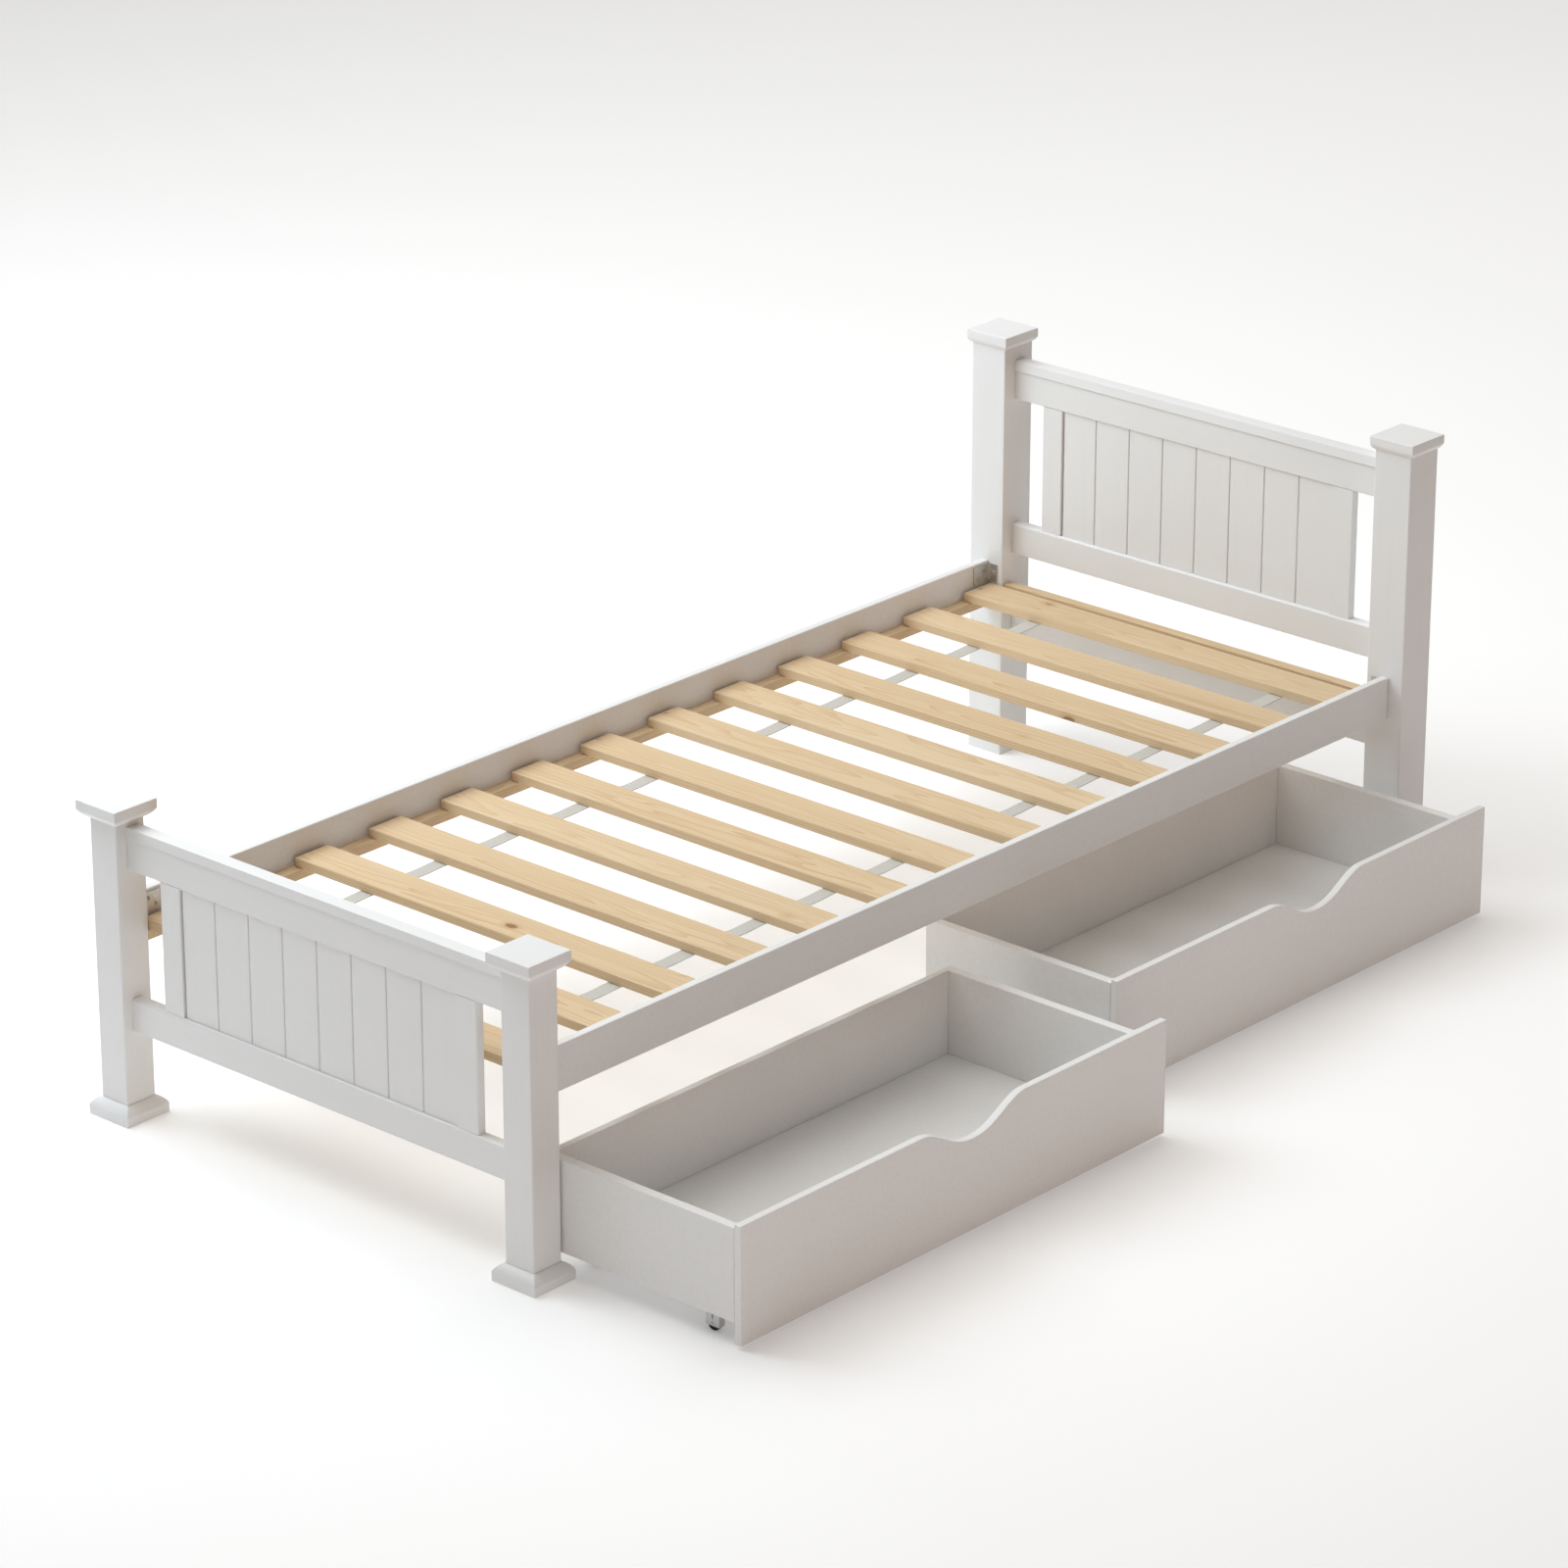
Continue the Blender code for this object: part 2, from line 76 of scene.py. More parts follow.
# Soft studio lights: name, place, what it points at, size, watts and colour
LIGHTS = (
    ("overhead", (-1.2, -0.6, 5.0), (0.0, 0.0, 0.0), (6.0, 6.0), 242.0, (1.0, 0.98, 0.95)),
    ("head_light", (-1.8, -1.0, 2.3), (0.0, 1.0, 0.3), (2.5, 2.0), 49.0, (0.78, 0.91, 1.0)),
    ("window", (-6.0, -2.0, 3.2), (0.0, 0.0, 0.2), (4.5, 3.5), 92.0, (0.79, 0.85, 0.92)),
    ("warm_fill", (6.0, 0.5, 1.6), (0.4, 0.0, 0.0), (4.0, 1.6), 20.0, (1.0, 0.45, 0.22)),
    ("foot_fill", (4.6, -3.4, 1.8), (0.5, -0.8, -0.1), (2.4, 1.6), 8.5, (1.0, 1.0, 0.96)),
    ("low_glow", (4.6, -4.8, 0.9), (0.3, -0.6, 0.0), (6.0, 1.4), 38.0, (1.0, 0.76, 0.60)),
    ("far_floor", (-4.0, 5.5, 5.0), (-3.6, 4.6, 0.0), (8.0, 6.0), 170.0, (1.0, 0.98, 0.95)),
    ("back_fill", (1.0, 6.5, 3.4), (0.0, 0.0, 0.2), (5.0, 3.0), 40.0, (1.0, 0.97, 0.92)),
)
ROOM_LIGHT = 0.03            # strength of the even light from all round
FLOOR_HALF = 40.0            # half the floor's width

# Colours, in linear light, and the places of the grain
PAINT_DIM, PAINT_CLEAN = (0.806, 0.803, 0.797), (0.826, 0.823, 0.817)
PAINT_GRAIN = (0.784, 0.780, 0.771)
PAINT_WORN = (0.735, 0.715, 0.672)
PAINT_SHIFT, PINE_SHIFT = (9.0, 9.0, 9.0), (5.0, 5.0, 5.0)      # moves the grain from piece to piece
PINE_EARLY, PINE_LATE = (0.700, 0.530, 0.335), (0.530, 0.340, 0.170)
PINE_STREAK = (0.590, 0.405, 0.220)
PINE_PALE = (0.760, 0.610, 0.415)
KNOT_HALO, KNOT_HEART = (0.500, 0.290, 0.120), (0.250, 0.125, 0.050)
PITH_SPREAD = (0.030, 0.030, 0.034)         # how much the pith's place varies from board to board
PITH_FROM = {"X": (-0.015, -0.015, 0.024), "Y": (-0.015, -0.015, 0.030)}
RING_SWING = 0.016           # how far the rings wander to each side along a board
ZINC_TINT, HOOD_TINT = (0.640, 0.645, 0.655), (0.540, 0.532, 0.530)
CRYSTAL_SHADE = 0.72         # of the plate's tint, in its darkest crystals
TREAD_BLACK, TREAD_DUST = (0.006, 0.006, 0.006), (0.040, 0.038, 0.034)
# the tape's off-white on the weave's high points, and a darker colour painted into its hollows as painted
# shade
TAPE_HOLLOW_SHADE, TAPE_HIGH = (0.500, 0.480, 0.430), (0.760, 0.745, 0.700)
TAPE_SOIL = (0.600, 0.570, 0.500)
FLOOR_DIM, FLOOR_PALE = (0.86, 0.86, 0.86), (0.88, 0.88, 0.88)

# Posts, caps and plinths
POST_EASE = 0.0024
SHOULDER_ARC = (30, 65)      # slope of a block's shoulder from upright, in degrees, first and last
SHOULDER_STRIP = 0.0006      # strip of upright face beside the shoulder
FOOT_REACH, FOOT_RISE = 0.0132, 0.0128      # a shoulder's width and height on foot caps and plinths
HEAD_REACH, HEAD_RISE = 0.0060, 0.0080      # and on the head caps
BLOCK_CORNER = 0.0011        # radius of a block's upright edges
CAP_ROUND = 0.0014           # radius where a cap's faces meet its top
FLOOR_ROUND = ((0.0010, 0.0), (0.0003, 0.0004), (0.0, 0.0012))     # a plinth's foot: in, up

# Rails and stiles
RAIL_EASE, RAIL_TOP_EASE = 0.0018, 0.0040
SIDE_RAIL_EASE = 0.0022
HEAD_BAND, HEAD_CROWN = 0.0170, 0.0040      # height of a top rail's strip, radius behind its crest
FOOT_BAND, FOOT_CROWN = 0.0150, 0.0025
BAND_PROUD = 0.0026          # how far the strip stands out from the rail's face
BAND_LEAN = 0.0022           # how far it leans back by its top
BAND_LIP = 0.0008            # chamfer along its lower edge
BACK_STEP = 0.0070           # how far the rail's back is set in below its upper edge
BACK_SLOPE = (-0.0040, 0.0010)              # where that step starts and ends, from the strip's foot
BAND_RAIL_EASE, BACK_EASE, CREST_EASE = 0.0016, 0.0010, 0.0012
LIP_EASES = (0.0006, 0.0004, 0.0005)        # the strip's lower corners, and where it meets the face
STILE_EASE, STILE_INNER_EASE = 0.0016, 0.0012

# Boarded panels
PLANKS = 8
PLANK_EASE = 0.0003
VEE = 0.0009                 # width of the chamfer along each plank's edge
VEE_DEEP = 0.0012
PLANK_SLOT = 0.0014
STILE_SLOT = 0.0020          # shadow gap between a stile and the first or last board
BOARD_FIT = 0.0002           # clearance of a tongue in its groove, and of the last board
TONGUE_T = 0.0030
TONGUE_L = 0.0050
TONGUE_SHORT, GROOVE_SHORT = 0.0012, 0.0004 # what a plank's tongue and groove lack of that length

# Bed base
SLATS = (7, 6)               # slats in the foot roll and in the head roll
SLAT_W, SLAT_T = 0.068, 0.015
SLAT_EASE, PINE_EASE = 0.0018, 0.0012
SLAT_SCREW_X = 0.393
LEDGER_SCREWS, LEDGER_MARGIN = 7, 0.07
BATTEN_SCREWS, BATTEN_MARGIN = 5, 0.05
SCREW_R = 0.0036
SCREW_SPIN = 0.7             # turn from one screw's recess to the next, in radians
SUNK, PROUD = 0.0003, 0.0014 # how high a countersunk head and a pan head stand
TAPE_X, TAPE_W, TAPE_T = 0.250, 0.025, 0.0012
TAPE_MARGIN, TAPE_SAG = 0.006, 0.0016
STAPLE_W, STAPLE_T, STAPLE_EASE = 0.0100, 0.0010, 0.0002
STAPLE_FROM_MIDDLE = 0.013
STAPLE_OUT, STAPLE_IN = 0.0006, 0.0002      # how far a staple shows and sinks in
BRACKET_T = 0.0022
BRACKET_BEND, BRACKET_INNER_BEND, BRACKET_EASE = 0.0024, 0.0012, 0.0004
BRACKET_SCREWS = ((0.45, 0.006), (0.80, -0.006))    # share of the long leg, and height from its middle
BRACKET_SHORT_SCREW = 0.0065 # from the short leg's end

# Drawers
SCOOP_FROM_FOOT = 0.4835     # centre of a finger scoop, from its board's foot end
SCOOP_W = 0.224
SCOOP_D = 0.0374
SCOOP_POWER = 1.15           # above 1, a wider dip with steeper sides
FRONT_EASE, BOX_EASE, BASE_EASE = 0.0013, 0.0012, 0.0004

# Castors
HOOD_SHEET = 0.0009
HOOD_CLEAR, CHEEK_CLEAR = 0.0005, 0.0006    # from the wheel's tread, and from its sides
HOOD_REACH = 0.32            # how far the hood comes down below the axle, in wheel radii
HOOD_PLATE = 0.0020
PLATE_EASE, CHEEK_EASE, WALL_EASE = 0.0006, 0.0002, 0.0001
CHEEK_SLIT, SLIT_UP = 0.0008, 0.0078        # half the slit's width, and its foot above the axle
RIVET = ((0.0, 0.0010), (0.0014, 0.0009), (0.0022, 0.0005), (0.0025, 0.0), (0.0025, -0.0006), (0.0, -0.0006))
CASTOR_SCREW = (0.0160, 0.0115)             # from the axle, along X and along Y
CASTOR_SCREW_R, CASTOR_SCREW_RISE = 0.0026, 0.0009
WHEEL_BORE, WHEEL_SOFT = 0.0023, 0.0016
HUB_R, HUB_SLOPE_R, HUB_FOOT_R = 0.0042, 0.0046, 0.0050
RIM_IN = (0.0034, 0.0030, 0.0026)           # the rim's inner slope, in from the tread
DISH_SLOPE, DISH = 0.0004, 0.0010           # depth halfway down a slope, and of the dished side


# ---- Node materials -------------------------------------------------------
class Nodes:
    """A material's node tree, with short calls for the nodes used here."""

    def __init__(self, name):
        self.mat = bpy.data.materials.new(name)
        self.mat.use_nodes = True
        self.tree = self.mat.node_tree
        self.shader = self.tree.nodes["Principled BSDF"]

    def add(self, kind, **values):
        node = self.tree.nodes.new(kind)
        for key, value in values.items():
            setattr(node, key, value)
        return node

    def wire(self, a, b):
        self.tree.links.new(a, b)

    def vector(self, operation, a, b):
        node = self.add("ShaderNodeVectorMath", operation=operation)
        for value, socket in ((a, node.inputs[0]), (b, node.inputs[1])):
            if isinstance(value, tuple):
                socket.default_value = value
            else:
                self.wire(value, socket)
        return node.outputs[0]

    def coords(self, stretch=(1, 1, 1), seed=None, local=False):
        """Object coordinates in metres. local counts from the piece's own middle, seed moves
        each piece by its own share of a vector, and stretch then draws the grain out."""
        source = self.add("ShaderNodeTexCoord").outputs["Object"]
        if local:
            middle = self.add("ShaderNodeAttribute", attribute_name="middle")
            source = self.vector("SUBTRACT", source, middle.outputs["Vector"])
        if seed is not None:
            piece = self.add("ShaderNodeAttribute", attribute_name="seed")
            source = self.vector("ADD", source, self.vector("MULTIPLY", piece.outputs["Vector"], seed))
        mapping = self.add("ShaderNodeMapping")
        mapping.inputs["Scale"].default_value = stretch
        self.wire(source, mapping.inputs["Vector"])
        return mapping.outputs["Vector"]

    def noise(self, where, scale, detail=3.0, rough=0.5):
        node = self.add("ShaderNodeTexNoise")
        node.inputs["Scale"].default_value = scale
        node.inputs["Detail"].default_value = detail
        node.inputs["Roughness"].default_value = rough
        self.wire(where, node.inputs["Vector"])
        return node.outputs["Fac"]

    def spread(self, value, low, high, out_low=0.0, out_high=1.0):
        node = self.add("ShaderNodeMapRange")
        node.inputs["From Min"].default_value = low
        node.inputs["From Max"].default_value = high
        node.inputs["To Min"].default_value = out_low
        node.inputs["To Max"].default_value = out_high
        self.wire(value, node.inputs["Value"])
        return node.outputs["Result"]

    def blend(self, fac, a, b):
        """Mix two colours; each is a plain colour or a socket."""
        node = self.add("ShaderNodeMix", data_type="RGBA")
        self.wire(fac, node.inputs["Factor"])
        for value, socket in ((a, node.inputs[6]), (b, node.inputs[7])):
            if isinstance(value, tuple):
                socket.default_value = (*value, 1.0)
            else:
                self.wire(value, socket)
        return node.outputs[2]

    def maths(self, operation, a, b):
        node = self.add("ShaderNodeMath", operation=operation)
        for value, socket in ((a, node.inputs[0]), (b, node.inputs[1])):
            if isinstance(value, (int, float)):
                socket.default_value = value
            else:
                self.wire(value, socket)
        return node.outputs[0]

    def bump(self, layers):
        """Chain bump layers: (height socket, strength, distance in metres)."""
        normal = None
        for height, strength, distance in layers:
            node = self.add("ShaderNodeBump")
            node.inputs["Strength"].default_value = strength
            node.inputs["Distance"].default_value = distance
            self.wire(height, node.inputs["Height"])
            if normal is not None:
                self.wire(normal, node.inputs["Normal"])
            normal = node.outputs["Normal"]
        self.wire(normal, self.shader.inputs["Normal"])

    def wear(self):
        """1 on a piece's eased edges, 0 on its faces."""
        node = self.add("ShaderNodeAttribute", attribute_name="wear")
        return node.outputs["Fac"]


def along(axis, across, with_grain):
    """Scale of each axis for a texture drawn out along X, Y or Z."""
    return tuple(with_grain if name == axis else across for name in "XYZ")


def white_paint(name, axis, solid=True):
    """Sprayed satin white: faint orange peel, the timber's grain just telling through,
    thinner and a touch creamier on the arrises. solid is False on board."""
    n = Nodes(name)
    broad = n.noise(n.coords(), 3.0, 2.0)
    streak = n.noise(n.coords(along(axis, 1.0, 0.035), PAINT_SHIFT), 190.0, 4.0, 0.6)
    fine = n.noise(n.coords(along(axis, 1.0, 0.02), PAINT_SHIFT), 900.0, 2.0, 0.5)
    peel = n.noise(n.coords(), 420.0, 2.0, 0.45)
    base = n.blend(n.spread(broad, 0.35, 0.65), PAINT_DIM, PAINT_CLEAN)
    if solid:
        base = n.blend(n.spread(streak, 0.45, 0.72, 0.0, 0.35), base, PAINT_GRAIN)
    rubbed = n.spread(n.noise(n.coords(), 160.0, 3.0), 0.42, 0.70, 0.05, 0.35)
    edge = n.maths("MULTIPLY", n.wear(), rubbed)
    base = n.blend(edge, base, PAINT_WORN)
    n.wire(base, n.shader.inputs["Base Color"])
    gloss = n.spread(n.noise(n.coords(), 24.0, 4.0), 0.3, 0.7, 0.40, 0.44)
    n.wire(n.maths("ADD", gloss, n.maths("MULTIPLY", edge, 0.15)), n.shader.inputs["Roughness"])
    n.shader.inputs["Specular IOR Level"].default_value = 0.45
    if solid:
        n.bump(((streak, 0.05, 0.00030), (fine, 0.02, 0.00012), (peel, 0.012, 0.00020)))
    else:
        n.bump(((peel, 0.012, 0.00020), (broad, 0.03, 0.0003)))
    return n.mat


def bare_pine(name, axis):
    """Planed flat-sawn pine: rings about a pith below each board, drawn out along the grain,
    with streaks, pores and now and then a knot."""
    n = Nodes(name)
    drift = n.noise(n.coords(along(axis, 1.0, 0.12), PINE_SHIFT, True), 9.0, 3.0, 0.5)
    swing = n.spread(drift, 0.25, 0.75, -RING_SWING, RING_SWING)
    pith_depth = n.vector("ADD", n.coords(along(axis, 1.0, 0.02), PITH_SPREAD, True), PITH_FROM[axis])
    offset = n.add("ShaderNodeCombineXYZ")
    for across in ("Y", "Z") if axis == "X" else ("X", "Z"):
        n.wire(swing, offset.inputs[across])
    rings = n.add("ShaderNodeTexWave", wave_type="RINGS", rings_direction=axis, wave_profile="SAW")
    rings.inputs["Scale"].default_value = 88.0
    rings.inputs["Distortion"].default_value = 1.2
    rings.inputs["Detail"].default_value = 2.0
    rings.inputs["Detail Scale"].default_value = 0.4
    n.wire(n.vector("ADD", pith_depth, offset.outputs[0]), rings.inputs["Vector"])
    streak = n.noise(n.coords(along(axis, 1.0, 0.03), PINE_SHIFT, True), 420.0, 4.0, 0.65)
    pores = n.noise(n.coords(along(axis, 1.0, 0.02), PINE_SHIFT, True), 1900.0, 2.0, 0.6)
    late = n.spread(n.maths("POWER", rings.outputs["Fac"], 2.6), 0.05, 0.95, 0.0, 0.62)
    base = n.blend(late, PINE_EARLY, PINE_LATE)
    base = n.blend(n.spread(streak, 0.42, 0.75, 0.0, 0.40), base, PINE_STREAK)
    base = n.blend(n.spread(drift, 0.45, 0.75, 0.0, 0.45), base, PINE_PALE)
    knots = n.add("ShaderNodeTexVoronoi", feature="F1")
    knots.inputs["Scale"].default_value = 7.5
    n.wire(n.coords(along(axis, 1.0, 0.62), PINE_SHIFT, True), knots.inputs["Vector"])
    ring = n.maths("ADD", knots.outputs["Distance"], n.spread(streak, 0.3, 0.7, -0.012, 0.012))
    base = n.blend(n.spread(ring, 0.120, 0.05, 0.0, 0.50), base, KNOT_HALO)
    base = n.blend(n.spread(ring, 0.064, 0.046, 0.0, 0.85), base, KNOT_HEART)
    n.wire(base, n.shader.inputs["Base Color"])
    n.wire(n.spread(streak, 0.3, 0.7, 0.52, 0.68), n.shader.inputs["Roughness"])
    n.shader.inputs["Specular IOR Level"].default_value = 0.3
    n.bump(((late, 0.20, 0.0003), (streak, 0.25, 0.0003), (pores, 0.15, 0.0002)))
    return n.mat


def plated_steel(name, tint, rough, spangle=0.5):
    """Zinc plate: fine crystals that shift tone and gloss, and light rub marks."""
    n = Nodes(name)
    cells = n.add("ShaderNodeTexVoronoi", feature="F1")
    cells.inputs["Scale"].default_value = 700.0
    n.wire(n.coords(), cells.inputs["Vector"])
    rub = n.noise(n.coords((1, 1, 0.1)), 900.0, 3.0)
    dark = tuple(CRYSTAL_SHADE * channel for channel in tint)
    tone = n.maths("MULTIPLY", n.spread(cells.outputs["Color"], 0.0, 1.0), spangle)
    n.wire(n.blend(tone, tint, dark), n.shader.inputs["Base Color"])
    n.shader.inputs["Metallic"].default_value = 1.0
    n.wire(n.spread(rub, 0.3, 0.7, rough - 0.07, rough + 0.10), n.shader.inputs["Roughness"])
    n.bump(((rub, 0.12, 0.0001),))
    return n.mat


def black_tread(name):
    """Moulded black wheel: matt rim, a little dust worked into the surface."""
    n = Nodes(name)
    dust = n.noise(n.coords(), 320.0, 5.0, 0.65)
    grain = n.noise(n.coords(), 2600.0, 2.0)
    n.wire(n.blend(n.spread(dust, 0.50, 0.85, 0.0, 0.4), TREAD_BLACK, TREAD_DUST),
           n.shader.inputs["Base Color"])
    n.wire(n.spread(dust, 0.3, 0.8, 0.48, 0.68), n.shader.inputs["Roughness"])
    n.bump(((grain, 0.18, 0.0001),))
    return n.mat


def webbing(name):
    """Off-white woven tape: warp ribs along it and picks across it, with painted shade darkening the hollows
    of the weave.
    """
    n = Nodes(name)
    height = None
    for direction, scale in (("X", 340.0), ("Y", 210.0)):
        wave = n.add("ShaderNodeTexWave", wave_type="BANDS", bands_direction=direction)
        wave.inputs["Scale"].default_value = scale
        wave.inputs["Distortion"].default_value = 0.4
        n.wire(n.coords(), wave.inputs["Vector"])
        out = wave.outputs["Fac"]
        height = out if height is None else n.maths("MULTIPLY", height, out)
    soil = n.noise(n.coords(), 60.0, 4.0)
    # painted shade: the colour darkens where the weave's height is low, in its hollows
    base = n.blend(n.spread(height, 0.0, 0.7), TAPE_HOLLOW_SHADE, TAPE_HIGH)
    base = n.blend(n.spread(soil, 0.5, 0.8, 0.0, 0.4), base, TAPE_SOIL)
    n.wire(base, n.shader.inputs["Base Color"])
    n.shader.inputs["Roughness"].default_value = 0.85
    n.shader.inputs["Sheen Weight"].default_value = 0.25
    n.bump(((height, 0.6, 0.0004),))
    return n.mat


def floor_finish(name):
    """Pale matt floor that glows a little, so that it stays near white in the shade."""
    n = Nodes(name)
    cloud = n.noise(n.coords(), 0.8, 2.0)
    n.wire(n.blend(cloud, FLOOR_DIM, FLOOR_PALE), n.shader.inputs["Base Color"])
    n.shader.inputs["Roughness"].default_value = 0.9
    n.shader.inputs["Specular IOR Level"].default_value = 0.1
    n.shader.inputs["Emission Color"].default_value = (1.0, 1.0, 1.0, 1.0)
    n.shader.inputs["Emission Strength"].default_value = 0.2
    return n.mat


PAINT = {axis: white_paint("white_paint_" + axis.lower(), axis) for axis in "XYZ"}
BOARD = {axis: white_paint("white_board_" + axis.lower(), axis, solid=False) for axis in "XYZ"}
PINE = {axis: bare_pine("bare_pine_" + axis.lower(), axis) for axis in "XY"}
ZINC = plated_steel("zinc_plate", ZINC_TINT, 0.34)
HOOD = plated_steel("castor_plate", HOOD_TINT, 0.28, 0.30)
TREAD = black_tread("castor_tread")
TAPE = webbing("slat_tape")


# ---- Mesh helpers ---------------------------------------------------------
PIECE_NUMBERS = itertools.count(1)
SEED_STEPS = (0.754877, 1.32471, 1.7549)    # uneven, so that pieces made one after another differ


def piece_seed():
    """Three numbers from 0 to 1 that differ for each piece, from the order of making."""
    turn = next(PIECE_NUMBERS) * SEED_STEPS[0]
    return Vector((turn % 1.0, (turn * SEED_STEPS[1]) % 1.0, (turn * SEED_STEPS[2]) % 1.0))


def store(name, bm, material, body, replaces=(), angle=32.0):
    """Make a piece from a mesh: shading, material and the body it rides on. Faces that
    meet at more than angle, in degrees, shade as separate."""
    bmesh.ops.recalc_face_normals(bm, faces=bm.faces)
    corners = [v.co for v in bm.verts]
    middle = [(min(c[k] for c in corners) + max(c[k] for c in corners)) / 2 for k in range(3)]
    for layer_name, value in (("seed", piece_seed()), ("middle", middle)):
        layer = bm.loops.layers.float_color.new(layer_name)
        for face in bm.faces:
            for loop in face.loops:
                loop[layer] = (*value, 1.0)
    mesh = bpy.data.meshes.new(name)
    bm.to_mesh(mesh)
    bm.free()
    mesh.materials.append(material)
    mesh.shade_smooth()
    mesh.set_sharp_from_angle(angle=math.radians(angle))
    obj = bpy.data.objects.new(name, mesh)
    bpy.context.scene.collection.objects.link(obj)
    even = obj.modifiers.new("even_normals", "WEIGHTED_NORMAL")
    even.keep_sharp = True
    even.weight = 80
    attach(obj, body)
    if replaces:
        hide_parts(*replaces)


SAME_WAY = 0.9999            # cosine between two normals that count as one direction
SAME_PLACE = 0.000001        # distance between two corners that count as one


def ease(bm, radius, segments, least=30.0):
    """Round every edge sharper than least, in degrees, and mark the new faces for the paint's wear."""
    bmesh.ops.recalc_face_normals(bm, faces=bm.faces)
    flats = [face.normal.copy() for face in bm.faces]
    sharp = [e for e in bm.edges if len(e.link_faces) == 2 and e.calc_face_angle() > math.radians(least)]
    bmesh.ops.bevel(bm, geom=sharp, offset=radius, offset_type="OFFSET", segments=segments,
                    profile=0.5, affect="EDGES", clamp_overlap=True)
    wear = bm.loops.layers.float_color.new("wear")
    for face in bm.faces:
        if all(face.normal.dot(flat) < SAME_WAY for flat in flats):
            for loop in face.loops:
                loop[wear] = (1.0, 1.0, 1.0, 1.0)


def block(low, high, radius, segments):
    """Box from corner to corner, its edges rounded."""
    bm = bmesh.new()
    low, high = Vector(low), Vector(high)
    place = Matrix.Translation((low + high) / 2) @ Matrix.Diagonal((*(high - low), 1.0))
    bmesh.ops.create_cube(bm, size=1.0, matrix=place)
    ease(bm, radius, segments)
    return bm


def rounded(points, step=18.0):
    """Outline with its corners turned to arcs: points are (a, b) or (a, b, radius), and step is
    the largest turn between two points of an arc, in degrees."""
    out = []
    count = len(points)
    for i in range(count):
        here = Vector(points[i][:2])
        radius = points[i][2] if len(points[i]) > 2 else 0.0
        if radius == 0.0:
            out.append(tuple(here))
            continue
        back = (Vector(points[i - 1][:2]) - here).normalized()
        ahead = (Vector(points[(i + 1) % count][:2]) - here).normalized()
        half = back.angle(ahead) / 2
        reach = radius / math.tan(half)
        centre = here + (back + ahead).normalized() * radius / math.sin(half)
        start = here + back * reach - centre
        end = here + ahead * reach - centre
        bend = start.angle_signed(end)
        parts = max(2, int(abs(math.degrees(bend)) / step) + 1)
        for k in range(parts + 1):
            turn = -bend * k / parts
            cos, sin = math.cos(turn), math.sin(turn)
            across, up = start.x * cos - start.y * sin, start.x * sin + start.y * cos
            out.append((centre.x + across, centre.y + up))
    return out


def sweep(outline, axis, low, high):
    """Run a closed outline along X, Y or Z. Its numbers are the other two axes in order."""
    bm = bmesh.new()
    rings = []
    for place in (low, high):
        ring = []
        for a, b in outline:
            point = {"X": (place, a, b), "Y": (a, place, b), "Z": (a, b, place)}[axis]
            ring.append(bm.verts.new(point))
        rings.append(ring)
    bm.faces.new(rings[0])
    bm.faces.new(list(reversed(rings[1])))
    count = len(outline)
    for i in range(count):
        j = (i + 1) % count
        bm.faces.new((rings[0][i], rings[1][i], rings[1][j], rings[0][j]))
    bmesh.ops.recalc_face_normals(bm, faces=bm.faces)
    return bm


def merge(target, other):
    """Copy another mesh into target and free it."""
    copied = bpy.data.meshes.new("part")
    other.to_mesh(copied)
    other.free()
    target.from_mesh(copied)
    bpy.data.meshes.remove(copied)


def moulded_block(x, y, profile):
    """Square block with a moulded side and rounded upright edges. profile is (half width, height)
    pairs, from the bottom up."""
    bm = bmesh.new()
    steps = 3
    rings = []
    for half, z in profile:
        ring = []
        for quarter in range(4):
            middle = math.pi / 4 + quarter * math.pi / 2
            cx = x + (half - BLOCK_CORNER) * math.copysign(1, math.cos(middle))
            cy = y + (half - BLOCK_CORNER) * math.copysign(1, math.sin(middle))
            for k in range(steps + 1):
                turn = quarter * math.pi / 2 + math.pi / 2 * k / steps
                place = (cx + BLOCK_CORNER * math.cos(turn), cy + BLOCK_CORNER * math.sin(turn), z)
                ring.append(bm.verts.new(place))
        rings.append(ring)
    bm.faces.new(list(reversed(rings[0])))
    bm.faces.new(rings[-1])
    for lower, upper in zip(rings, rings[1:]):
        count = len(lower)
        for i in range(count):
            j = (i + 1) % count
            bm.faces.new((lower[i], lower[j], upper[j], upper[i]))
    bmesh.ops.recalc_face_normals(bm, faces=bm.faces)
    return bm


def arc(centre, radius, start, end, steps):
    """Points on an arc, from one angle to another in degrees."""
    points = []
    for i in range(steps + 1):
        turn = math.radians(start + (end - start) * i / steps)
        points.append((centre[0] + radius * math.cos(turn), centre[1] + radius * math.sin(turn)))
    return points


def turned(profile, sides, matrix):
    """Solid of revolution about local Z, from (radius, height) pairs, placed by matrix."""
    bm = bmesh.new()
    rings = []
    for radius, height in profile:
        if radius == 0.0:
            rings.append([bm.verts.new((0, 0, height))])
            continue
        ring = []
        for i in range(sides):
            turn = 2 * math.pi * i / sides
            ring.append(bm.verts.new((radius * math.cos(turn), radius * math.sin(turn), height)))
        rings.append(ring)
    for lower, upper in zip(rings, rings[1:]):
        for i in range(sides):
            j = (i + 1) % sides
            loop = [lower[i % len(lower)], lower[j % len(lower)],
                    upper[j % len(upper)], upper[i % len(upper)]]
            corners = []
            for vert in loop:
                if vert not in corners:
                    corners.append(vert)
            if len(corners) > 2:
                bm.faces.new(corners)
    bmesh.ops.recalc_face_normals(bm, faces=bm.faces)
    bmesh.ops.transform(bm, matrix=matrix, verts=bm.verts)
    return bm


def facing(point, direction):
    """Matrix that puts local Z along direction, at point."""
    return Matrix.Translation(point) @ Vector(direction).to_track_quat("Z", "Y").to_matrix().to_4x4()


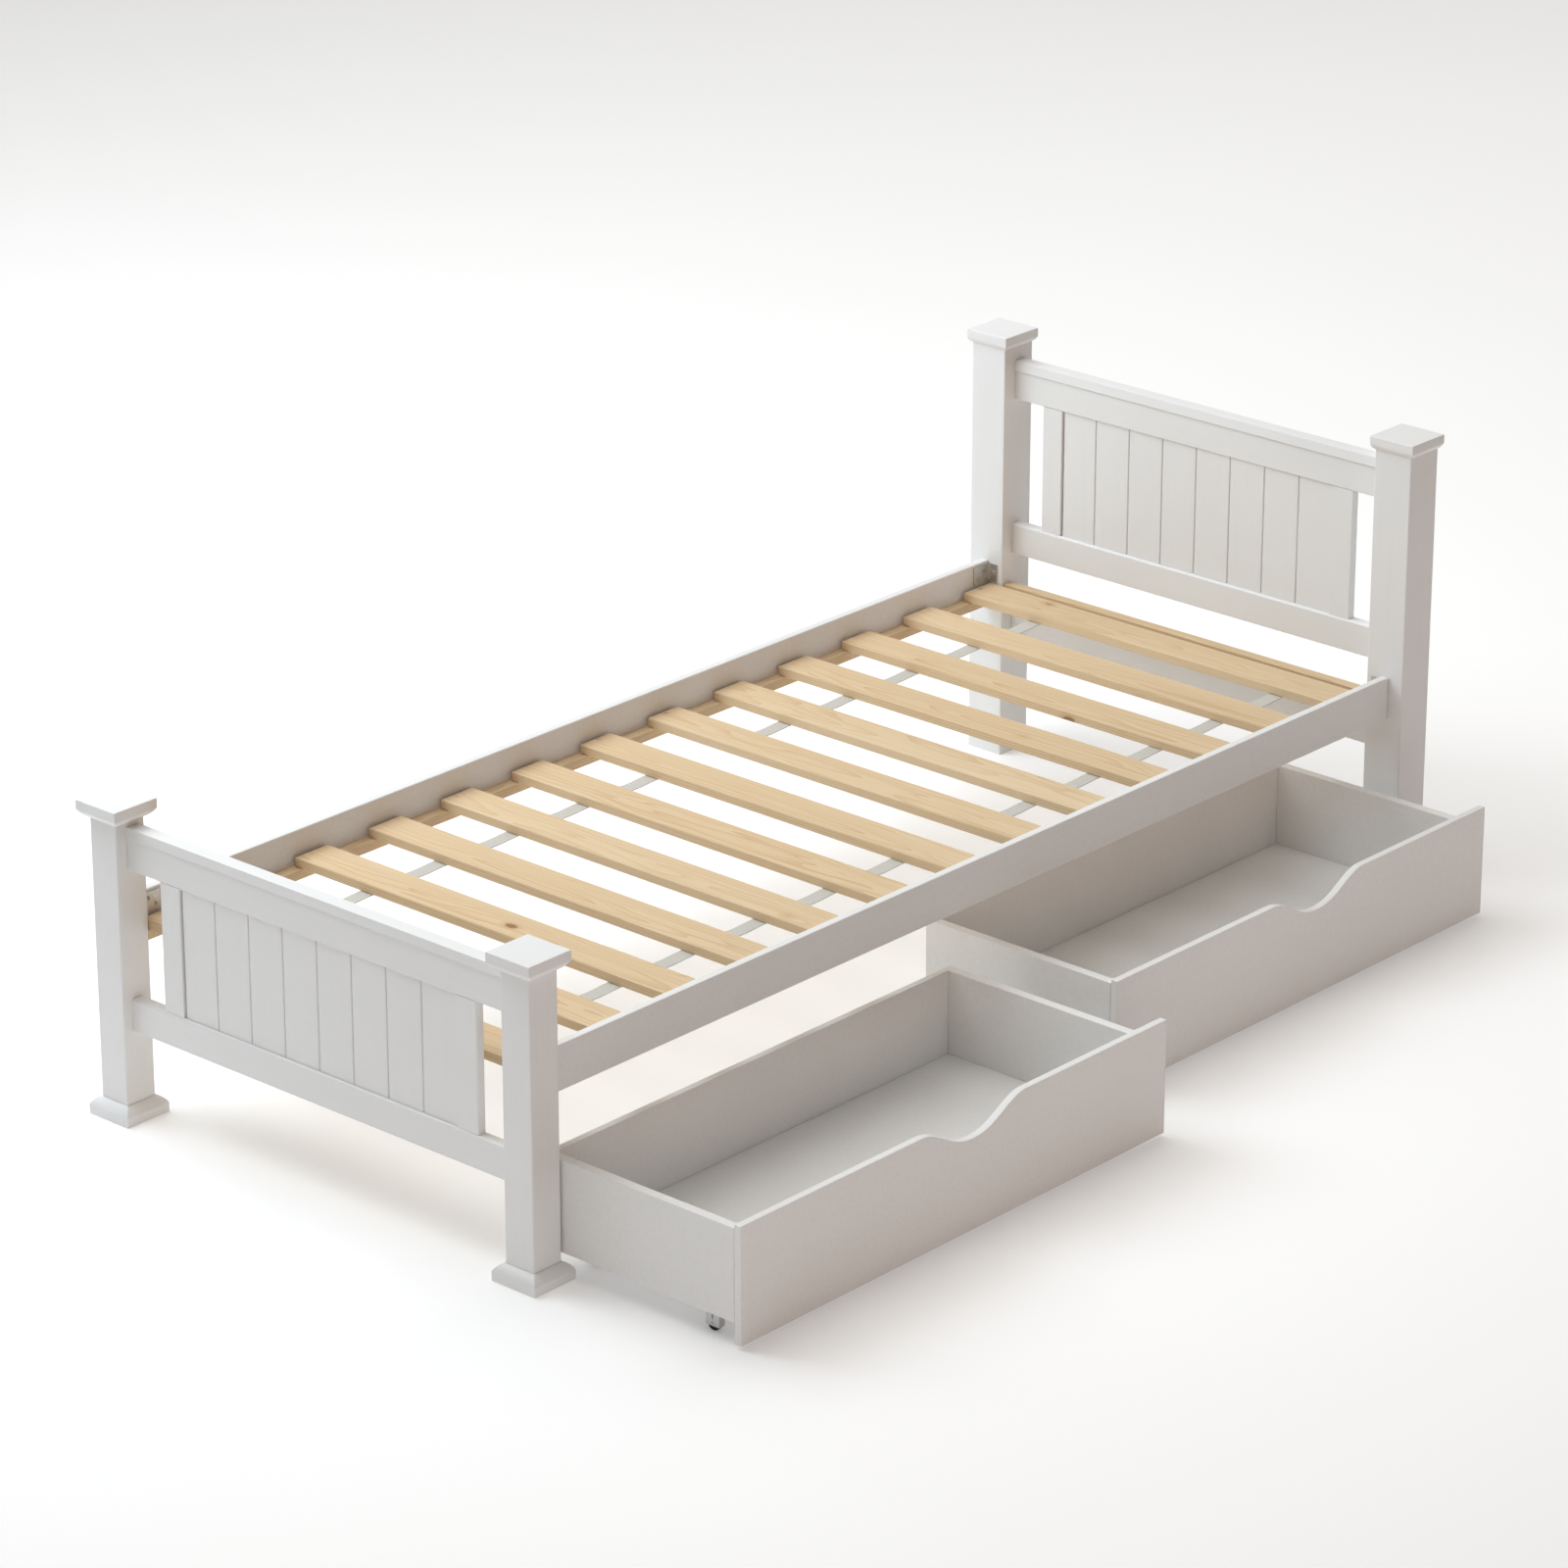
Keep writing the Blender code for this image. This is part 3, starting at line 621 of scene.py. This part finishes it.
def screw_head(point, direction, radius, rise, spin):
    """Countersunk or pan head with a cross recess, its rim on the surface."""
    bm = bmesh.new()
    sides, levels = 24, 7
    arm, length = 0.20 * radius, 0.62 * radius      # half a recess arm's width, and its length
    recess, tip_recess = 0.42 * radius, 0.48 * radius
    skirt_depth = 0.6 * radius
    dome = 0.92
    rings = []
    for level in range(levels):
        share = 1 - level / levels
        height = rise * math.sqrt(max(0.0, 1 - dome * share * share))
        ring = []
        for i in range(sides):
            turn = 2 * math.pi * i / sides
            a, b = share * radius * math.cos(turn), share * radius * math.sin(turn)
            in_cross = (abs(a) < arm and abs(b) < length) or (abs(b) < arm and abs(a) < length)
            ring.append(bm.verts.new((a, b, height - (recess if in_cross else 0.0))))
        rings.append(ring)
    tip = bm.verts.new((0, 0, rise - tip_recess))
    for outer, inner in zip(rings, rings[1:]):
        for i in range(sides):
            j = (i + 1) % sides
            bm.faces.new((outer[i], outer[j], inner[j], inner[i]))
    for i in range(sides):
        bm.faces.new((rings[-1][i], rings[-1][(i + 1) % sides], tip))
    skirt = [bm.verts.new((v.co.x, v.co.y, -skirt_depth)) for v in rings[0]]
    for i in range(sides):
        j = (i + 1) % sides
        bm.faces.new((rings[0][j], rings[0][i], skirt[i], skirt[j]))
    bm.faces.new(skirt)
    placed = facing(point, direction) @ Matrix.Rotation(spin, 4, "Z")
    bmesh.ops.transform(bm, matrix=placed, verts=bm.verts)
    return bm


def screws(name, places, body, radius=SCREW_R, rise=SUNK):
    """One mesh of several screw heads, each turned differently: (point, direction) pairs."""
    bm = bmesh.new()
    for i, (point, direction) in enumerate(places):
        merge(bm, screw_head(point, direction, radius, rise, SCREW_SPIN * i))
    store(name, bm, ZINC, body, angle=40.0)


def spaced(low, high, margin, count):
    """Even places from low to high, the first and the last a margin in from them."""
    return [low + margin + (high - low - 2 * margin) * i / (count - 1) for i in range(count)]


# ---- Posts, caps and plinths ----------------------------------------------
def inner_face(end, side):
    """X of the inner face of a post, on one side of the bed."""
    low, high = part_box("%s_post_%s" % (end, side))
    return high.x if side == "left" else low.x


def post(node):
    """Square post with rounded long edges, its ends sawn off square."""
    low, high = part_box(node)
    square = ((low.x, low.y), (high.x, low.y), (high.x, high.y), (low.x, high.y))
    bm = sweep(rounded([(x, y, POST_EASE) for x, y in square]), "Z", low.z, high.z)
    store(node + "_timber", bm, PAINT["Z"], BED, (node,))


def shoulder(wide, edge, reach, rise, way):
    """Rounded slope from a block's upright faces, at height edge, in towards the post. way is 1
    where it goes up from the edge and -1 where it goes down."""
    first, last = (math.radians(angle) for angle in SHOULDER_ARC)
    steps = 9
    points = [(wide, edge - way * SHOULDER_STRIP)]
    for i in range(steps + 1):
        turn = first + (last - first) * i / steps
        inward = (math.cos(first) - math.cos(turn)) / (math.cos(first) - math.cos(last))
        beyond = (math.sin(turn) - math.sin(first)) / (math.sin(last) - math.sin(first))
        points.append((wide - reach * inward, edge + way * rise * beyond))
    return points


def painted_block(node, profile):
    low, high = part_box(node)
    middle = (low + high) / 2
    bm = moulded_block(middle.x, middle.y, profile)
    store(node + "_block", bm, PAINT["X"], BED, (node,))


def cap(node, reach, rise):
    """Square block on a post: a shoulder that spreads up from the post, then upright faces."""
    low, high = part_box(node)
    wide = (high.x - low.x) / 2
    profile = list(reversed(shoulder(wide, low.z + rise, reach, rise, -1)))
    profile += arc((wide - CAP_ROUND, high.z - CAP_ROUND), CAP_ROUND, 0, 90, 4)
    painted_block(node, profile)


def plinth(node):
    """Foot block: the foot cap's block turned over, with a small round at the floor."""
    low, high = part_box(node)
    wide = (high.x - low.x) / 2
    profile = [(wide - inward, low.z + up) for inward, up in FLOOR_ROUND]
    profile += shoulder(wide, high.z - FOOT_RISE, FOOT_REACH, FOOT_RISE, 1)
    painted_block(node, profile)


# ---- End rails, stiles and boarded panels ----------------------------------
def rail(end, node, outline):
    """Run an outline from post to post."""
    bm = sweep(rounded(outline), "X", inner_face(end, "left") + GAP, inner_face(end, "right") - GAP)
    store(node + "_timber", bm, PAINT["X"], BED, (node,))


def plain_rail(end, node):
    """Rail between the posts; the top edges are rounder than the lower ones."""
    low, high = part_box(node)
    rail(end, node, [(low.y, low.z, RAIL_EASE), (high.y, low.z, RAIL_EASE),
                     (high.y, high.z, RAIL_TOP_EASE), (low.y, high.z, RAIL_TOP_EASE)])


def banded_rail(end, node, band_height, crown):
    """Top rail: a proud strip along its upper edge leans back a little to a flat top."""
    low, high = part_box(node)
    band = high.z - band_height
    face, back = low.y + BAND_PROUD, high.y - BACK_STEP
    step_low, step_high = (band + offset for offset in BACK_SLOPE)
    rail(end, node, [
        (face, low.z, BAND_RAIL_EASE), (back, low.z, BAND_RAIL_EASE),
        (back, step_low, BACK_EASE), (high.y, step_high, BACK_EASE),
        (high.y, high.z, crown), (low.y + BAND_LEAN, high.z, CREST_EASE),
        (low.y, band + BAND_LIP, LIP_EASES[0]), (low.y + BAND_LIP, band, LIP_EASES[1]),
        (face, band, LIP_EASES[2]),
    ])


def stile(node, side):
    """Upright beside the panel, grooved for the first board's tongue."""
    low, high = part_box(node)
    inner, outer = (high.x, low.x) if side < 0 else (low.x, high.x)
    groove = inner + math.copysign(TONGUE_L, outer - inner)
    middle = (low.y + high.y) / 2
    half = TONGUE_T / 2 + BOARD_FIT
    points = [(inner, low.y, STILE_INNER_EASE), (outer, low.y, STILE_EASE),
              (outer, high.y, STILE_EASE), (inner, high.y, STILE_INNER_EASE),
              (inner, middle + half), (groove, middle + half),
              (groove, middle - half), (inner, middle - half)]
    bm = sweep(rounded(points), "Z", low.z, high.z)
    store(node + "_timber", bm, PAINT["Z"], BED, (node,))


def boards(end):
    """The panel's boards, chamfered along both edges, tongued into each other."""
    node = end + "_panel"
    low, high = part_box(node)
    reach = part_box(end + "_stile_right")[0].x - GAP
    width = 2 * reach / PLANKS
    middle = (low.y + high.y) / 2
    tongue, groove = TONGUE_T / 2, TONGUE_T / 2 + BOARD_FIT
    for i in range(PLANKS):
        last = i == PLANKS - 1
        left = -reach + i * width + (STILE_SLOT if i == 0 else PLANK_SLOT / 2)
        right = -reach + (i + 1) * width - (BOARD_FIT if last else PLANK_SLOT / 2)
        vee, deep = (PLANK_EASE, PLANK_EASE) if last else (VEE, VEE_DEEP)
        tip, bottom = right + TONGUE_L - TONGUE_SHORT, left + TONGUE_L - GROOVE_SHORT
        points = [(left + VEE, low.y, PLANK_EASE), (right - vee, low.y, PLANK_EASE / 2),
                  (right, low.y + deep), (right, middle - tongue), (tip, middle - tongue),
                  (tip, middle + tongue), (right, middle + tongue), (right, high.y - deep),
                  (right - vee, high.y, PLANK_EASE / 2), (left + VEE, high.y, PLANK_EASE),
                  (left, high.y - VEE_DEEP), (left, middle + groove), (bottom, middle + groove),
                  (bottom, middle - groove), (left, middle - groove), (left, low.y + VEE_DEEP)]
        bm = sweep(rounded(points, 30.0), "Z", low.z, high.z)
        replaced = (node,) if i == 0 else ()
        store("%s_board_%d" % (end, i + 1), bm, PAINT["Z"], BED, replaced, angle=25.0)


def end_frame(end):
    for side, word in SIDES:
        post("%s_post_%s" % (end, word))
        stile("%s_stile_%s" % (end, word), side)
    boards(end)


# ---- Bed base --------------------------------------------------------------
def side_rails():
    for _, word in SIDES:
        node = "side_rail_" + word
        bm = block(*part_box(node), SIDE_RAIL_EASE, 4)
        store(node + "_timber", bm, PAINT["Y"], BED, (node,))


def ledgers():
    """Pine ledgers, screwed to the side rails through their inner faces."""
    for side, word in SIDES:
        node = "slat_ledger_" + word
        low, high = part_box(node)
        bm = block(low, high, PINE_EASE, 3)
        store(node + "_timber", bm, PINE["Y"], BED, (node,))
        face = min(abs(low.x), abs(high.x)) * side
        middle = (low.z + high.z) / 2
        places = [((face, y, middle), (-side, 0, 0))
                  for y in spaced(low.y, high.y, LEDGER_MARGIN, LEDGER_SCREWS)]
        screws("ledger_screws_" + word, places, BED)


def batten():
    """Pine batten, screwed to the end rail behind it."""
    node = "head_batten"
    low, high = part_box(node)
    store(node + "_timber", block(low, high, PINE_EASE, 3), PINE["X"], BED, (node,))
    middle = (low.z + high.z) / 2
    places = [((x, low.y, middle), (0, -1, 0)) for x in spaced(low.x, high.x, BATTEN_MARGIN, BATTEN_SCREWS)]
    screws("batten_screws", places, BED)


def slats():
    """Thirteen slats in two rolls, the first and last of each screwed to the ledgers."""
    low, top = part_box("slat_roll_foot")
    head_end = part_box("slat_roll_head")[1].y
    centres = spaced(low.y, head_end, SLAT_W / 2, sum(SLATS))
    underside = top.z - SLAT_T
    for i, y in enumerate(centres):
        roll = "slat_roll_foot" if i < SLATS[0] else "slat_roll_head"
        replaced = (roll,) if i in (0, SLATS[0]) else ()
        bm = block((low.x, y - SLAT_W / 2, underside), (top.x, y + SLAT_W / 2, top.z), SLAT_EASE, 3)
        store("slat_%02d" % (i + 1), bm, PINE["X"], BED, replaced)
    for i in (0, SLATS[0] - 1, SLATS[0], sum(SLATS) - 1):
        places = [((side * SLAT_SCREW_X, centres[i], top.z), (0, 0, 1)) for side in (-1, 1)]
        screws("slat_screws_%02d" % (i + 1), places, BED)
    roll_tapes("foot", centres[:SLATS[0]], underside)
    roll_tapes("head", centres[SLATS[0]:], underside)


def roll_tapes(end, centres, underside):
    """Two webbing tapes under a roll, sagging a little between the slats, and their staples."""
    top = underside - GAP
    start = centres[0] - SLAT_W / 2 + TAPE_MARGIN
    stop = centres[-1] + SLAT_W / 2 - TAPE_MARGIN
    free = (centres[1] - centres[0] - SLAT_W) / 2
    steps = 160
    pins = bmesh.new()
    for side, word in SIDES:
        x = side * TAPE_X
        bm = bmesh.new()
        rings = []
        for i in range(steps + 1):
            y = start + (stop - start) * i / steps
            near = min(abs(y - c) for c in centres) - SLAT_W / 2
            sag = TAPE_SAG * math.sin(math.pi / 2 * min(1.0, max(0.0, near / free))) ** 2
            ring = []
            for a, b in ((-1, 0), (-1, -1), (1, -1), (1, 0)):
                ring.append(bm.verts.new((x + a * TAPE_W / 2, y, top - sag + b * TAPE_T)))
            rings.append(ring)
        for one, two in zip(rings, rings[1:]):
            for k in range(4):
                m = (k + 1) % 4
                bm.faces.new((one[k], one[m], two[m], two[k]))
        bm.faces.new(rings[0])
        bm.faces.new(list(reversed(rings[-1])))
        store("slat_tape_%s_%s" % (end, word), bm, TAPE, BED)
        z = top - TAPE_T
        for y in centres:
            for shift in (-STAPLE_FROM_MIDDLE, STAPLE_FROM_MIDDLE):
                low = (x - STAPLE_W / 2, y + shift - STAPLE_T / 2, z - STAPLE_OUT)
                high = (x + STAPLE_W / 2, y + shift + STAPLE_T / 2, z + STAPLE_IN)
                merge(pins, block(low, high, STAPLE_EASE, 2))
    store("slat_staples_" + end, pins, ZINC, BED)


def corner_bracket(end, turn, side, word):
    """Pressed steel angle with rounded corners: two screws in its long leg, one in its short one."""
    node = "bracket_%s_%s" % (end, word)
    low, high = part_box(node)
    outer, inner = (high.x, low.x) if side > 0 else (low.x, high.x)
    at_post, away = (low.y, high.y) if turn > 0 else (high.y, low.y)
    face, short_face = outer - side * BRACKET_T, at_post + turn * BRACKET_T
    points = [(outer, at_post, BRACKET_BEND), (outer, away), (face, away),
              (face, short_face, BRACKET_INNER_BEND), (inner, short_face), (inner, at_post)]
    bm = sweep(rounded(points), "Z", low.z, high.z)
    ease(bm, BRACKET_EASE, 2)
    store(node + "_plate", bm, ZINC, BED, (node,))
    middle = (low.z + high.z) / 2
    places = [((face, at_post + (away - at_post) * share, middle + up), (-side, 0, 0))
              for share, up in BRACKET_SCREWS]
    places.append(((inner + side * BRACKET_SHORT_SCREW, short_face, middle), (0, turn, 0)))
    screws(node + "_screws", places, BED, rise=PROUD)


def corner_brackets():
    for end, turn in (("foot", 1), ("head", -1)):
        for side, word in SIDES:
            corner_bracket(end, turn, side, word)


# ---- Drawers ----------------------------------------------------------------
def front_board(drawer):
    """Front with its finger scoop: two S curves that meet in a shallow dip."""
    node = drawer + "_front"
    low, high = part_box(node)
    outline = [(low.y, low.z), (high.y, low.z), (high.y, high.z)]
    steps = 56
    middle = low.y + SCOOP_FROM_FOOT
    for i in range(steps + 1):
        across = 1 - 2 * i / steps
        drop = 0.5 * (1 + math.cos(math.pi * abs(across) ** SCOOP_POWER))
        outline.append((middle + across * SCOOP_W / 2, high.z - SCOOP_D * drop))
    outline.append((low.y, high.z))
    bm = sweep(outline, "X", low.x, high.x)
    ease(bm, FRONT_EASE, 3, 40.0)
    store(node + "_board", bm, BOARD["Y"], drawer, (node,), angle=28.0)


def drawer_box(drawer):
    parts = (("side_foot", "X", BOX_EASE), ("side_head", "X", BOX_EASE),
             ("back", "Y", BOX_EASE), ("base", "Y", BASE_EASE))
    for part, axis, radius in parts:
        node = drawer + "_" + part
        bm = block(*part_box(node), radius, 3)
        store(node + "_board", bm, BOARD[axis], drawer, (node,))


def castor_hood(node, drawer):
    """Pressed castor: plate, hood that closes over the wheel, riveted pin and screws."""
    low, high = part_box(node)
    wheel_low, wheel_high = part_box(node.replace("_bracket", "_wheel"))
    axle = (wheel_low + wheel_high) / 2
    wheel_r = (wheel_high.z - wheel_low.z) / 2
    near = (wheel_high.y - wheel_low.y) / 2 + CHEEK_CLEAR
    far = near + HOOD_SHEET
    cover = wheel_r + HOOD_CLEAR + HOOD_SHEET
    plate_z, slit_z = high.z - HOOD_PLATE, axle.z + SLIT_UP
    drop = math.degrees(math.asin(HOOD_REACH * wheel_r / cover))
    side = [(axle.x - cover, plate_z)]
    side += arc((axle.x, axle.z), cover, 180, 180 + drop, 6)
    side += arc((axle.x, axle.z), cover, -drop, 0, 6)
    side += [(axle.x + cover, plate_z), (axle.x + CHEEK_SLIT, plate_z), (axle.x + CHEEK_SLIT, slit_z),
             (axle.x - CHEEK_SLIT, slit_z), (axle.x - CHEEK_SLIT, plate_z)]
    bm = block((low.x, low.y, plate_z), (high.x, high.y, high.z), PLATE_EASE, 2)
    for out in (-1, 1):
        cheek = sweep(side, "Y", *sorted((axle.y + out * near, axle.y + out * far)))
        ease(cheek, CHEEK_EASE, 2)
        merge(bm, cheek)
        wall = sorted((axle.x + out * (cover - HOOD_SHEET), axle.x + out * cover))
        wall_low, wall_high = (wall[0], axle.y - near, axle.z), (wall[1], axle.y + near, plate_z)
        merge(bm, block(wall_low, wall_high, WALL_EASE, 1))
        start, end = (180, 180 + drop) if out < 0 else (0, -drop)
        shell = arc((axle.x, axle.z), cover, start, end, 6)
        shell += arc((axle.x, axle.z), cover - HOOD_SHEET, end, start, 6)
        merge(bm, sweep(shell, "Y", axle.y - near, axle.y + near))
        merge(bm, turned(RIVET, 20, facing((axle.x, axle.y + out * far, axle.z), (0, out, 0))))
    store(node + "_hood", bm, HOOD, drawer, (node,), angle=40.0)
    along_x, along_y = CASTOR_SCREW
    places = [((axle.x + a * along_x, axle.y + b * along_y, plate_z), (0, 0, -1))
              for a in (-1, 1) for b in (-1, 1)]
    screws(node + "_screws", places, drawer, CASTOR_SCREW_R, CASTOR_SCREW_RISE)


def castor_wheel(node):
    """Wheel with a rounded tread, a dished side and a raised hub."""
    low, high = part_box(node)
    radius = (high.z - low.z) / 2
    half = (high.y - low.y) / 2
    slope, dish = half - DISH_SLOPE, half - DISH
    dish_rim, slope_rim, rim = (radius - inward for inward in RIM_IN)
    upper = [(WHEEL_BORE, half), (HUB_R, half), (HUB_SLOPE_R, slope), (HUB_FOOT_R, dish),
             (dish_rim, dish), (slope_rim, slope), (rim, half)]
    upper += arc((radius - WHEEL_SOFT, half - WHEEL_SOFT), WHEEL_SOFT, 90, 0, 4)
    profile = upper + [(r, -h) for r, h in reversed(upper)] + [upper[0]]
    bm = turned(profile, 40, facing((low + high) / 2, (0, 1, 0)))
    bmesh.ops.remove_doubles(bm, verts=bm.verts, dist=SAME_PLACE)
    store(node + "_moulding", bm, TREAD, node + "_body", (node,), angle=40.0)


def drawer_pieces(drawer):
    front_board(drawer)
    drawer_box(drawer)
    for depth in ("front", "rear"):
        for end in ("foot", "head"):
            name = "%s_%s_%s" % (drawer, depth, end)
            castor_hood(name + "_bracket", drawer)
            castor_wheel(name + "_wheel")


# ---- Stage, light and camera --------------------------------------------------
def area_light(name, place, target, size, power, colour):
    data = bpy.data.lights.new(name, "AREA")
    data.shape = "RECTANGLE"
    data.size, data.size_y = size
    data.energy = power
    data.color = colour
    obj = bpy.data.objects.new(name, data)
    bpy.context.scene.collection.objects.link(obj)
    obj.location = place
    obj.rotation_euler = (Vector(target) - Vector(place)).to_track_quat("-Z", "Y").to_euler()


def stage():
    """Pale floor, an even light from all round and the soft studio lights."""
    scene = bpy.context.scene
    scene.view_settings.view_transform = "Standard"
    bm = bmesh.new()
    floor_z = CAD_BOX[0][2]
    bmesh.ops.create_grid(bm, x_segments=8, y_segments=8, size=FLOOR_HALF,
                          matrix=Matrix.Translation((0, 0, floor_z)))
    mesh = bpy.data.meshes.new("floor")
    bm.to_mesh(mesh)
    bm.free()
    mesh.materials.append(floor_finish("floor_finish"))
    floor = bpy.data.objects.new("floor", mesh)
    scene.collection.objects.link(floor)
    world = bpy.data.worlds.new("soft_room")
    world.use_nodes = True
    back = world.node_tree.nodes["Background"]
    back.inputs["Color"].default_value = (1.0, 1.0, 1.0, 1.0)
    back.inputs["Strength"].default_value = ROOM_LIGHT
    scene.world = world
    for light in LIGHTS:
        area_light(*light)


def camera():
    data = bpy.data.cameras.new("camera")
    data.lens = CAMERA_LENS
    data.sensor_width = SENSOR
    data.clip_end = FAR_CLIP
    obj = bpy.data.objects.new("camera", data)
    bpy.context.scene.collection.objects.link(obj)
    obj.location = CAMERA_AT
    obj.rotation_euler = (math.radians(90.0 - CAMERA_ELEVATION), 0.0, math.radians(CAMERA_AZIMUTH))
    bpy.context.scene.camera = obj


for spare in [o for o in bpy.data.objects if o.type in ("LIGHT", "CAMERA")]:
    bpy.data.objects.remove(spare)
camera()
stage()
for end_name in ("head", "foot"):
    end_frame(end_name)
for _, word in SIDES:
    cap("head_cap_" + word, HEAD_REACH, HEAD_RISE)
    cap("foot_cap_" + word, FOOT_REACH, FOOT_RISE)
    plinth("foot_plinth_" + word)
banded_rail("head", "head_top_rail", HEAD_BAND, HEAD_CROWN)
banded_rail("foot", "foot_top_rail", FOOT_BAND, FOOT_CROWN)
plain_rail("head", "head_panel_rail")
plain_rail("head", "head_end_rail")
plain_rail("foot", "foot_bottom_rail")
side_rails()
ledgers()
batten()
slats()
corner_brackets()
for drawer_name in DRAWERS:
    drawer_pieces(drawer_name)
